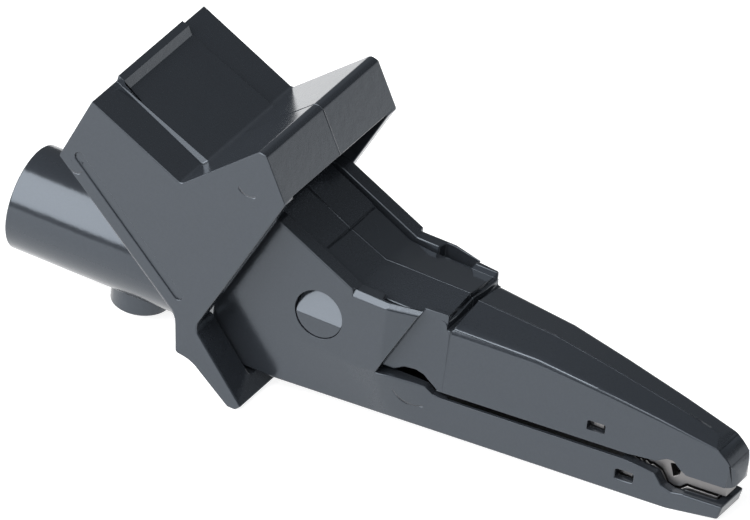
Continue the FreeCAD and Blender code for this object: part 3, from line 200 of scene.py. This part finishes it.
class ShaderTree:
    """A material or world under construction."""

    def __init__(self, owner):
        owner.use_nodes = True
        self.nodes = owner.node_tree.nodes
        self.links = owner.node_tree.links
        self.nodes.clear()

    def feed(self, node, sockets):
        """Gives a node's sockets their values and links."""
        for key, value in sockets.items():
            if isinstance(value, Wire):
                self.links.new(value.socket, node.inputs[key])
            else:
                node.inputs[key].default_value = value

    def add(self, kind, settings, sockets, output=0):
        """A new node, set up and fed, as the wire from one of its outputs."""
        node = self.nodes.new(kind)
        for name, value in settings.items():
            if name == "stops":
                ramp = node.color_ramp
                for i, (place, grey) in enumerate(value):
                    stop = ramp.elements[i] if i < 2 else ramp.elements.new(place)
                    stop.position = place
                    stop.color = opaque((grey, grey, grey))
            else:
                setattr(node, name, value)
        self.feed(node, sockets)
        return Wire(self, node.outputs[output])

    def end(self, kind, shader):
        """The output node of a material or a world."""
        self.feed(self.nodes.new(kind), {"Surface": shader})

    def ray(self, kind):
        """1 for rays of one kind, such as those from the camera."""
        return self.add("ShaderNodeLightPath", {}, {}, f"Is {kind} Ray")

    def place(self):
        """Object coordinates."""
        return self.add("ShaderNodeTexCoord", {}, {}, "Object")

    def noise(self, scale, detail, roughness, stretch=(1, 1, 1)):
        """Noise with this many lumps to the metre, finer along a stretched axis."""
        spot = self.add(
            "ShaderNodeMapping", {}, {"Vector": self.place(), "Scale": stretch}
        )
        return self.add(
            "ShaderNodeTexNoise",
            {},
            {
                "Vector": spot,
                "Scale": scale,
                "Detail": detail,
                "Roughness": roughness,
            },
        )

    def along(self, axis):
        """A point's place along an axis."""
        return self.add("ShaderNodeSeparateXYZ", {}, {"Vector": self.place()}, axis)

    def between(self, axis, low, high):
        """1 where a point's place along an axis is between two values."""
        value = self.along(axis)
        return value.over(low) * (1.0 - value.over(high))

    def away(self, along, above):
        """The distance, seen from the side, to a point of the clip."""
        flat = self.add(
            "ShaderNodeVectorMath",
            {"operation": "MULTIPLY"},
            {0: self.place(), 1: (1, 0, 1)},
        )
        return self.add(
            "ShaderNodeVectorMath",
            {"operation": "DISTANCE"},
            {0: flat, 1: clip_point(along, above)},
            "Value",
        )

    def arc(self, rear, middle, front, width):
        """A thin arc on the near side, through three points: 1 on its line, 0 off it."""
        along, above, radius = circle_through(rear, middle, front)
        off = abs(self.away(along, above) - radius * MM) / (width * MM)
        points = [clip_point(*point) for point in (rear, middle, front)]
        lengths = self.between("X", points[0].x, points[2].x)
        heights = [point.z for point in points]
        limits = self.between("Z", min(heights) - MARK_MARGIN, max(heights))
        near_side = 1.0 - self.along("Y").over(0.0)
        return (1.0 - off).clamped() * lengths * limits * near_side

    def ramp(self, value, *stops):
        return self.add("ShaderNodeValToRGB", {"stops": stops}, {"Fac": value})

    def blend(self, amount, first, second):
        """A colour between two colours."""
        return self.add(
            "ShaderNodeMix",
            {"data_type": "RGBA"},
            {"Factor": amount, "A": first, "B": second},
            "Result",
        )

    def bump(self, height, strength, depth, under=None):
        """Relief from a height, on top of another relief where one is given."""
        sockets = {"Height": height, "Strength": strength, "Distance": depth}
        if under:
            sockets["Normal"] = under
        return self.add("ShaderNodeBump", {}, sockets)

    def surface(self, **sockets):
        """The finished surface, from its sockets' names and values."""
        named = {
            name.replace("_", " "): value for name, value in sockets.items()
        }
        shader = self.add("ShaderNodeBsdfPrincipled", {}, named)
        self.end("ShaderNodeOutputMaterial", shader)


def opaque(color, factor=1):
    """An RGB colour, lighter or darker by a factor, with its alpha."""
    return (*(channel * factor for channel in color), 1.0)


def clip_point(along, above):
    """A point of the clip, in mm along and above the barrel's axis, as it stands."""
    return BARREL_MOUTH + MM * Vector(
        (
            along * math.cos(LEAN) + above * math.sin(LEAN),
            0,
            above * math.cos(LEAN) - along * math.sin(LEAN),
        )
    )


def clip_place(point):
    """Where a standing point lies: mm along and above the barrel's axis."""
    off = (point - BARREL_MOUTH) / MM
    return (
        off.x * math.cos(LEAN) - off.z * math.sin(LEAN),
        off.x * math.sin(LEAN) + off.z * math.cos(LEAN),
    )


def circle_through(first, second, third):
    """The centre and radius of the circle through three points of a plane."""
    (ax, ay), (bx, by), (cx, cy) = first, second, third
    turn = 2 * (ax * (by - cy) + bx * (cy - ay) + cx * (ay - by))
    a, b, c = ax * ax + ay * ay, bx * bx + by * by, cx * cx + cy * cy
    x = (a * (by - cy) + b * (cy - ay) + c * (ay - by)) / turn
    y = (a * (cx - bx) + b * (ax - cx) + c * (bx - ax)) / turn
    return x, y, math.hypot(ax - x, ay - y)


def moulded_plastic(name, color, grain_size, roughness, marks=()):
    """Black moulded nylon: fine eroded grain, faint clouding and slightly worn gloss."""
    material = bpy.data.materials.new(name)
    tree = ShaderTree(material)
    clouding = tree.noise(90, detail=4, roughness=0.6)
    grain = tree.noise(1.0 / grain_size, detail=3, roughness=0.65)
    coarse = tree.noise(0.22 / grain_size, detail=2, roughness=0.5)
    flow = tree.noise(160, detail=3, roughness=0.6, stretch=(0.25, 1, 1))
    tone = tree.blend(
        clouding * 0.6 + flow * 0.4, opaque(color, 0.86), opaque(color, 1.14)
    )
    specks = tree.ramp(grain, (0.35, 0.0), (0.75, 0.35))
    relief = tree.bump(grain, 0.12, grain_size * 0.12)
    relief = tree.bump(coarse, 0.1, grain_size * 0.4, relief)
    for mark in marks:
        relief = tree.bump(1.0 - tree.arc(*mark), 0.9, MARK_DEPTH, relief)
    tree.surface(
        Base_Color=tree.blend(specks, tone, opaque(color, 1.35)),
        Roughness=roughness - 0.05 + 0.07 * clouding + 0.05 * grain,
        Normal=relief,
        IOR=1.5,
        Specular_IOR_Level=GLOSS_LEVEL,
        Specular_Tint=opaque(GLOSS_TINT),
    )
    return material


def plated_metal(name, color, roughness, stretch):
    """Plated sheet or turned metal, with fine lines from its making."""
    material = bpy.data.materials.new(name)
    tree = ShaderTree(material)
    lines = tree.noise(2500, detail=3, roughness=0.6, stretch=stretch)
    stains = tree.noise(400, detail=3, roughness=0.6)
    tree.surface(
        Base_Color=tree.blend(stains, opaque(color, 0.8), opaque(color)),
        Roughness=roughness + 0.12 * lines + 0.06 * stains,
        Normal=tree.bump(lines, 0.2, 0.02 * MM),
        Metallic=1.0,
    )
    return material


def merged_shape(node_name):
    """The surface of a CAD node, with its triangles joined up."""
    shape = bmesh.new()
    shape.from_mesh(NODES[node_name].data)
    bmesh.ops.remove_doubles(shape, verts=shape.verts, dist=JOIN_DISTANCE)
    bmesh.ops.dissolve_degenerate(shape, edges=shape.edges, dist=SPECK_LENGTH)
    bmesh.ops.dissolve_limit(
        shape, angle_limit=FLAT_ANGLE, verts=shape.verts, edges=shape.edges
    )
    bmesh.ops.connect_verts_concave(shape, faces=shape.faces)
    for face in shape.faces:
        face.smooth = True
    return shape


def is_corner(edge):
    """Whether two faces meet in an edge that a mould would round."""
    if len(edge.link_faces) != 2:
        return False
    angle = edge.calc_face_angle(0)
    if angle > SHARP_ANGLE:
        return True
    length = edge.calc_length()
    narrowest = min(face.calc_area() / length for face in edge.link_faces)
    return angle > CREASE_ANGLE and narrowest > CREASE_FACE_WIDTH


def room_beside(edge):
    """How wide a rounding of this edge the edges that meet it leave room for."""
    lengths = [
        other.calc_length()
        for end in edge.verts
        for other in end.link_edges
        if other is not edge
    ]
    return min(lengths) * ROUNDING_SHARE


def round_edges(shape, width, special):
    """Gives each edge its rounding, as a share of the widest, and returns the widest."""
    layer = shape.edges.layers.float.new("bevel_weight_edge")
    widths = {}
    for edge in shape.edges:
        if is_corner(edge):
            fits = min(special(edge) or width, room_beside(edge))
            if fits < LEAST_ROUNDING:
                edge.smooth = False
            else:
                widths[edge] = fits
    widest = max(widths.values())
    for edge, fits in widths.items():
        edge[layer] = fits / widest
    return widest


def soften(piece, width, segments):
    """Rounds the weighted edges of a piece."""
    bevel = piece.modifiers.new("soft edges", "BEVEL")
    bevel.width = width
    bevel.segments = segments
    bevel.limit_method = "WEIGHT"
    bevel.miter_outer = "MITER_ARC"
    bevel.use_clamp_overlap = False
    flat = piece.modifiers.new("flat faces", "WEIGHTED_NORMAL")
    flat.mode = "FACE_AREA_WITH_ANGLE"
    flat.weight = 50
    flat.keep_sharp = True


def add_piece(shape, name, material):
    """A piece of the clip with the shape's mesh."""
    mesh = bpy.data.meshes.new(name)
    shape.to_mesh(mesh)
    shape.free()
    mesh.materials.append(material)
    piece = bpy.data.objects.new(name, mesh)
    bpy.context.scene.collection.objects.link(piece)
    return piece


def ordinary(edge):
    """No special rounding."""
    return 0


def dress(node, name, material, body, width, segments=2, special=ordinary):
    """A CAD node's bevelled stand-in, with its material, riding on a body."""
    shape = merged_shape(node)
    widest = round_edges(shape, width, special) if width > 0 else 0
    piece = add_piece(shape, name, material)
    if widest > 0:
        soften(piece, widest, segments)
    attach(piece, body)
    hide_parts(node)
    return piece


def middle_strip(whole, start, end, width, margin):
    """The strip of a piece's surface along its middle, clear of the CAD box's sides."""
    graph = bpy.context.evaluated_depsgraph_get()
    rounded = whole.evaluated_get(graph)
    shape = bmesh.new()
    shape.from_mesh(rounded.to_mesh())
    rounded.to_mesh_clear()
    low, high = (Vector(corner) for corner in cad_box)
    inset = Vector((1, 1, 1)) * margin
    for place, way in (
        ((0, -width / 2, 0), (0, -1, 0)),
        ((0, width / 2, 0), (0, 1, 0)),
        ((start, 0, 0), (-1, 0, 0)),
        ((end, 0, 0), (1, 0, 0)),
        (high - inset, (0, 0, 1)),
        (low + inset, (0, 0, -1)),
    ):
        bmesh.ops.bisect_plane(
            shape,
            geom=shape.verts[:] + shape.edges[:] + shape.faces[:],
            dist=1e-7,
            plane_co=place,
            plane_no=way,
            clear_outer=True,
        )
    return shape


def edge_course(edge):
    """Where an edge's middle lies, in mm, and how much of it runs across the clip."""
    first, last = (end.co for end in edge.verts)
    run = last - first
    middle = (first + last) / 2
    along, above = clip_place(middle)
    return along, abs(middle.y) / MM, above, abs(run.y) / run.length


def lever_rounding(finish):
    """Roundings of the lever: wide on the guards' outline, narrow at gap and pegs."""

    def rounding(edge):
        along, aside, above, crossing = edge_course(edge)
        on_pad = along < PAD_FRONT and above > PAD_BOTTOM and aside < PAD_HALF_WIDTH
        if on_pad and edge.calc_length() < PAD_LONGEST_EDGE * MM:
            return finish.gap_radius
        if along < LIP_FRONT and above > LIP_BOTTOM:
            return finish.gap_radius
        if along < GUARD_FRONT:
            return finish.corner_radius if crossing > ALL_ACROSS else 0
        if aside > PEG_INNER_END and PEG_REAR < along < PEG_FRONT:
            return finish.gap_radius
        at_gap = along > UPPER_GAP_REAR and above < UPPER_GAP_TOP
        if at_gap and crossing < HALF_ACROSS:
            return finish.gap_radius
        on_hood = along < HOOD_FRONT and above > HOOD_BOTTOM and aside < HOOD_HALF_WIDTH
        if on_hood and crossing > MOSTLY_ACROSS:
            return finish.corner_radius
        return 0

    return rounding


def body_rounding(finish):
    """Roundings of the body: narrow at the jaws' gap and round the peg holes."""

    def rounding(edge):
        along, aside, above, crossing = edge_course(edge)
        near_peg = math.dist((along, above), PEG) < PEG_REACH
        if near_peg and aside > PEG_INNER_END:
            return finish.gap_radius
        at_gap = along > LOWER_GAP_REAR and above > LOWER_GAP_BOTTOM
        if at_gap and crossing < HALF_ACROSS:
            return finish.gap_radius
        return 0

    return rounding


class ClipFinish(bpy.types.PropertyGroup):
    """Colours and roundings of the clip."""

    plastic_color: bpy.props.FloatVectorProperty(
        name="Plastic",
        description="Colour of the two mouldings",
        subtype="COLOR",
        size=3,
        min=0,
        max=1,
        default=(0.0225, 0.0258, 0.031),
    )
    plastic_roughness: bpy.props.FloatProperty(
        name="Plastic roughness",
        description="How matt the mouldings are",
        min=0,
        max=1,
        default=0.16,
    )
    plastic_grain: bpy.props.FloatProperty(
        name="Plastic grain",
        description="Size of the eroded grain on the mouldings",
        subtype="DISTANCE",
        unit="LENGTH",
        default=0.28 * MM,
    )
    edge_radius: bpy.props.FloatProperty(
        name="Edge radius",
        description="Rounding of the moulded edges",
        subtype="DISTANCE",
        unit="LENGTH",
        default=0.22 * MM,
    )
    corner_radius: bpy.props.FloatProperty(
        name="Corner radius",
        description="Rounding of the corners of the guards' and skirts' outline",
        subtype="DISTANCE",
        unit="LENGTH",
        default=0.8 * MM,
    )
    gap_radius: bpy.props.FloatProperty(
        name="Gap radius",
        description="Rounding of the edges along the jaws' gap and round the pegs",
        subtype="DISTANCE",
        unit="LENGTH",
        default=0.06 * MM,
    )
    sleeve_color: bpy.props.FloatVectorProperty(
        name="Sleeve",
        description="Colour of the insulating sleeve in the barrel",
        subtype="COLOR",
        size=3,
        min=0,
        max=1,
        default=(0.02, 0.02, 0.021),
    )
    # The jaws' grey is plating darkened well below bright plate: painted shade, standing
    # in for the shade the jaws lie in under the covers.
    jaw_color_and_shade: bpy.props.FloatVectorProperty(
        name="Jaws",
        description="Colour of the plated metal jaws",
        subtype="COLOR",
        size=3,
        min=0,
        max=1,
        default=(0.22, 0.215, 0.215),
    )
    contact_color: bpy.props.FloatVectorProperty(
        name="Contact",
        description="Colour of the contact tube, its rivet and the bush",
        subtype="COLOR",
        size=3,
        min=0,
        max=1,
        default=(0.72, 0.60, 0.38),
    )
    steel_color: bpy.props.FloatVectorProperty(
        name="Steel",
        description="Colour of the pin, the washers and the spring",
        subtype="COLOR",
        size=3,
        min=0,
        max=1,
        default=(0.50, 0.50, 0.51),
    )


class ClipLine(bpy.types.PropertyGroup):
    """The parting line of the mould."""

    width: bpy.props.FloatProperty(
        name="Line width",
        description="Width of the raised parting line",
        subtype="DISTANCE",
        unit="LENGTH",
        default=0.22 * MM,
    )
    height: bpy.props.FloatProperty(
        name="Line height",
        description="How proud the parting line stands",
        subtype="DISTANCE",
        unit="LENGTH",
        default=0.03 * MM,
    )


class CLIP_OT_body(bpy.types.Operator):
    """Dress the barrel, cheeks and lower jaw cover"""

    bl_idname = "clip.body"
    bl_label = "Body moulding"

    def execute(self, context):
        finish = context.scene.clip_finish
        plastic = moulded_plastic(
            "body plastic",
            finish.plastic_color,
            finish.plastic_grain,
            finish.plastic_roughness,
            marks=(JAW_MARK,),
        )
        dress(
            "body_shell",
            "body_moulding",
            plastic,
            "body",
            finish.edge_radius,
            segments=3,
            special=body_rounding(finish),
        )
        return {"FINISHED"}


class CLIP_OT_lever(bpy.types.Operator):
    """Dress the thumb pad, guards, deck and upper jaw cover"""

    bl_idname = "clip.lever"
    bl_label = "Lever moulding"

    def execute(self, context):
        finish = context.scene.clip_finish
        plastic = moulded_plastic(
            "lever plastic",
            finish.plastic_color,
            finish.plastic_grain,
            finish.plastic_roughness,
            marks=(GUARD_MARK, SKIRT_MARK),
        )
        moulding = dress(
            "lever_shell",
            "lever_moulding",
            plastic,
            "lever",
            finish.edge_radius,
            segments=3,
            special=lever_rounding(finish),
        )
        self.raise_line(moulding, plastic, context.scene.clip_line)
        return {"FINISHED"}

    def raise_line(self, moulding, plastic, line):
        """Adds the thin raised line that the mould's parting plane leaves."""
        start = clip_point(*LINE_REAR).x
        end = clip_point(*LINE_FRONT).x
        strip = middle_strip(moulding, start, end, line.width, line.height * 2)
        piece = add_piece(strip, "lever_parting_line", plastic)
        wall = piece.modifiers.new("line height", "SOLIDIFY")
        wall.thickness = line.height * 2
        wall.offset = 0.0
        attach(piece, "lever")


class CLIP_OT_jaws(bpy.types.Operator):
    """Dress the two metal jaws"""

    bl_idname = "clip.jaws"
    bl_label = "Metal jaws"

    def execute(self, context):
        # The jaws' colour carries painted shade: the plating is darkened for the shade
        # under the covers.
        color = context.scene.clip_finish.jaw_color_and_shade
        plating = plated_metal("jaw plating and painted shade", color, 0.27, stretch=(1, 4, 1))
        for node, name, body in (
            ("lower_jaw", "lower_metal_jaw", "body"),
            ("upper_jaw", "upper_metal_jaw", "lever"),
        ):
            dress(node, name, plating, body, SHEET_EDGE)
        return {"FINISHED"}


class CLIP_OT_contact(bpy.types.Operator):
    """Dress the contact tube, its sleeve and its rivet"""

    bl_idname = "clip.contact"
    bl_label = "Contact"

    def execute(self, context):
        finish = context.scene.clip_finish
        turned = plated_metal(
            "turned contact", finish.contact_color, 0.25, stretch=(6, 0.3, 0.3)
        )
        liner = moulded_plastic("sleeve plastic", finish.sleeve_color, 0.2 * MM, 0.4)
        for node, name, material, slot, width in (
            ("contact_tube", "socket_tube", turned, "contact", TURNED_EDGE),
            ("contact_rivet", "tail_rivet", turned, "contact", RIVET_EDGE),
            ("socket_sleeve", "socket_liner", liner, "sleeve", TURNED_EDGE),
        ):
            dress(node, name, material, "body", width)
        return {"FINISHED"}


class CLIP_OT_pivot(bpy.types.Operator):
    """Dress the pin, bush, washers and spring"""

    bl_idname = "clip.pivot"
    bl_label = "Pivot and spring"

    def execute(self, context):
        finish = context.scene.clip_finish
        steel = plated_metal("pivot steel", finish.steel_color, 0.25, (1, 4, 1))
        wire = plated_metal("spring wire", finish.steel_color, 0.3, (4, 1, 4))
        turned = plated_metal("turned bush", finish.contact_color, 0.3, (1, 6, 1))
        for node, name, material, slot, width in (
            ("pivot_pin", "hinge_pin", steel, "pin_steel", 0),
            ("pivot_washers", "hinge_washers", steel, "pin_steel", WASHER_EDGE),
            ("spring_bush", "hinge_bush", turned, "contact", BUSH_EDGE),
            ("torsion_spring", "closing_spring", wire, "spring_steel", 0),
        ):
            dress(node, name, material, "body", width)
        return {"FINISHED"}


def direction(azimuth, elevation):
    """Which way a place round and above the clip lies from it."""
    return Vector(
        (
            math.cos(elevation) * math.sin(azimuth),
            -math.cos(elevation) * math.cos(azimuth),
            math.sin(elevation),
        )
    )


def camera_axes():
    """The camera's right, up and backward directions."""
    back = direction(VIEW_AZIMUTH, VIEW_ELEVATION)
    level = Vector((math.cos(VIEW_AZIMUTH), math.sin(VIEW_AZIMUTH), 0))
    upward = back.cross(level)
    right = level * math.cos(VIEW_ROLL) + upward * math.sin(VIEW_ROLL)
    return right, back.cross(right), back


def add_camera():
    """The camera, placed so that the clip fills the photograph's frame."""
    right, up, back = camera_axes()
    aside = (IMAGE_WIDTH / 2 - PHOTO_POINT_PIXEL[0]) / PIXELS_PER_MM * MM
    above = (PHOTO_POINT_PIXEL[1] - IMAGE_HEIGHT / 2) / PIXELS_PER_MM * MM
    target = PHOTO_POINT + right * aside + up * above
    data = bpy.data.cameras.new("camera")
    data.sensor_width = SENSOR_WIDTH
    data.lens = PIXELS_PER_MM / MM * VIEW_DISTANCE * SENSOR_WIDTH / IMAGE_WIDTH
    data.clip_end = VIEW_END
    camera = bpy.data.objects.new("camera", data)
    turned = Matrix((right, up, back)).transposed().to_4x4()
    camera.matrix_world = Matrix.Translation(target + back * VIEW_DISTANCE) @ turned
    bpy.context.scene.collection.objects.link(camera)
    bpy.context.scene.camera = camera


def add_lamp(name, azimuth, elevation, distance, size, power):
    """A soft area lamp that looks at the clip."""
    data = bpy.data.lights.new(name, "AREA")
    data.shape = "RECTANGLE"
    data.size, data.size_y = size
    data.energy = power
    lamp = bpy.data.objects.new(name, data)
    lamp.visible_camera = False
    way = direction(math.radians(azimuth), math.radians(elevation))
    lamp.location = way * distance + LAMP_AIM
    lamp.rotation_euler = way.to_track_quat("Z", "Y").to_euler()
    bpy.context.scene.collection.objects.link(lamp)


def add_world():
    """A dim even sky, which the camera sees as white."""
    world = bpy.data.worlds.new("studio")
    bpy.context.scene.world = world
    tree = ShaderTree(world)
    white = tree.add("ShaderNodeBackground", {}, {"Color": opaque(WHITE)})
    sky = tree.add(
        "ShaderNodeBackground",
        {},
        {"Color": opaque(SKY_COLOR), "Strength": SKY_STRENGTH},
    )
    mixed = tree.add(
        "ShaderNodeMixShader", {}, {0: tree.ray("Camera"), 1: sky, 2: white}
    )
    tree.end("ShaderNodeOutputWorld", mixed)


def floor_paper():
    """Grey paper that looks white to the camera and in reflections."""
    material = bpy.data.materials.new("floor paper")
    tree = ShaderTree(material)
    paper = tree.add("ShaderNodeBsdfDiffuse", {}, {"Color": opaque(FLOOR_COLOR)})
    glow = tree.add(
        "ShaderNodeEmission", {}, {"Color": opaque(WHITE), "Strength": FLOOR_GLOW}
    )
    bright = tree.add("ShaderNodeAddShader", {}, {0: paper, 1: glow})
    seen = tree.ray("Camera") + tree.ray("Glossy") + tree.ray("Transmission")
    mixed = tree.add(
        "ShaderNodeMixShader", {}, {0: seen.clamped(), 1: paper, 2: bright}
    )
    tree.end("ShaderNodeOutputMaterial", mixed)
    return material


def add_floor():
    """A large sheet of paper, which keeps the clip's shadow."""
    shape = bmesh.new()
    bmesh.ops.create_grid(shape, x_segments=1, y_segments=1, size=FLOOR_HALF_SIDE)
    add_piece(shape, "floor", floor_paper())


class CLIP_OT_stage(bpy.types.Operator):
    """Set up the floor, the lamps and the camera"""

    bl_idname = "clip.stage"
    bl_label = "Stage"

    def execute(self, context):
        context.scene.view_settings.view_transform = "Standard"
        add_world()
        add_floor()
        add_lamp(
            "near left softbox",
            azimuth=-45,
            elevation=39,
            distance=0.7,
            size=(0.9, 0.74),
            power=11.0,
        )
        add_lamp(
            "fill beside the camera",
            azimuth=22,
            elevation=42,
            distance=0.9,
            size=(0.6, 0.5),
            power=2.5,
        )
        add_lamp(
            "low far panel",
            azimuth=140,
            elevation=9,
            distance=0.7,
            size=(0.5, 0.22),
            power=0.25,
        )
        add_camera()
        return {"FINISHED"}


class CLIP_PT_panel(bpy.types.Panel):
    """The clip's pieces and finishes"""

    bl_idname = "CLIP_PT_panel"
    bl_label = "Crocodile clip"
    bl_space_type = "VIEW_3D"
    bl_region_type = "UI"
    bl_category = "Clip"

    def draw(self, context):
        for group in (context.scene.clip_finish, context.scene.clip_line):
            for name in group.bl_rna.properties.keys():
                if name not in ("rna_type", "name"):
                    self.layout.prop(group, name)
        for operator in OPERATORS:
            self.layout.operator(operator.bl_idname)


GROUPS = {"clip_finish": ClipFinish, "clip_line": ClipLine}
OPERATORS = (
    CLIP_OT_body,
    CLIP_OT_lever,
    CLIP_OT_jaws,
    CLIP_OT_contact,
    CLIP_OT_pivot,
    CLIP_OT_stage,
)


def register():
    for group in GROUPS.values():
        bpy.utils.register_class(group)
    for operator in OPERATORS:
        bpy.utils.register_class(operator)
    bpy.utils.register_class(CLIP_PT_panel)
    for name, group in GROUPS.items():
        setattr(bpy.types.Scene, name, bpy.props.PointerProperty(type=group))


def unregister():
    for name in GROUPS:
        delattr(bpy.types.Scene, name)
    bpy.utils.unregister_class(CLIP_PT_panel)
    for operator in reversed(OPERATORS):
        bpy.utils.unregister_class(operator)
    for group in reversed(list(GROUPS.values())):
        bpy.utils.unregister_class(group)


def main():
    register()
    bpy.ops.clip.body()
    bpy.ops.clip.lever()
    bpy.ops.clip.jaws()
    bpy.ops.clip.contact()
    bpy.ops.clip.pivot()
    bpy.ops.clip.stage()


if __name__ == "__main__":
    main()
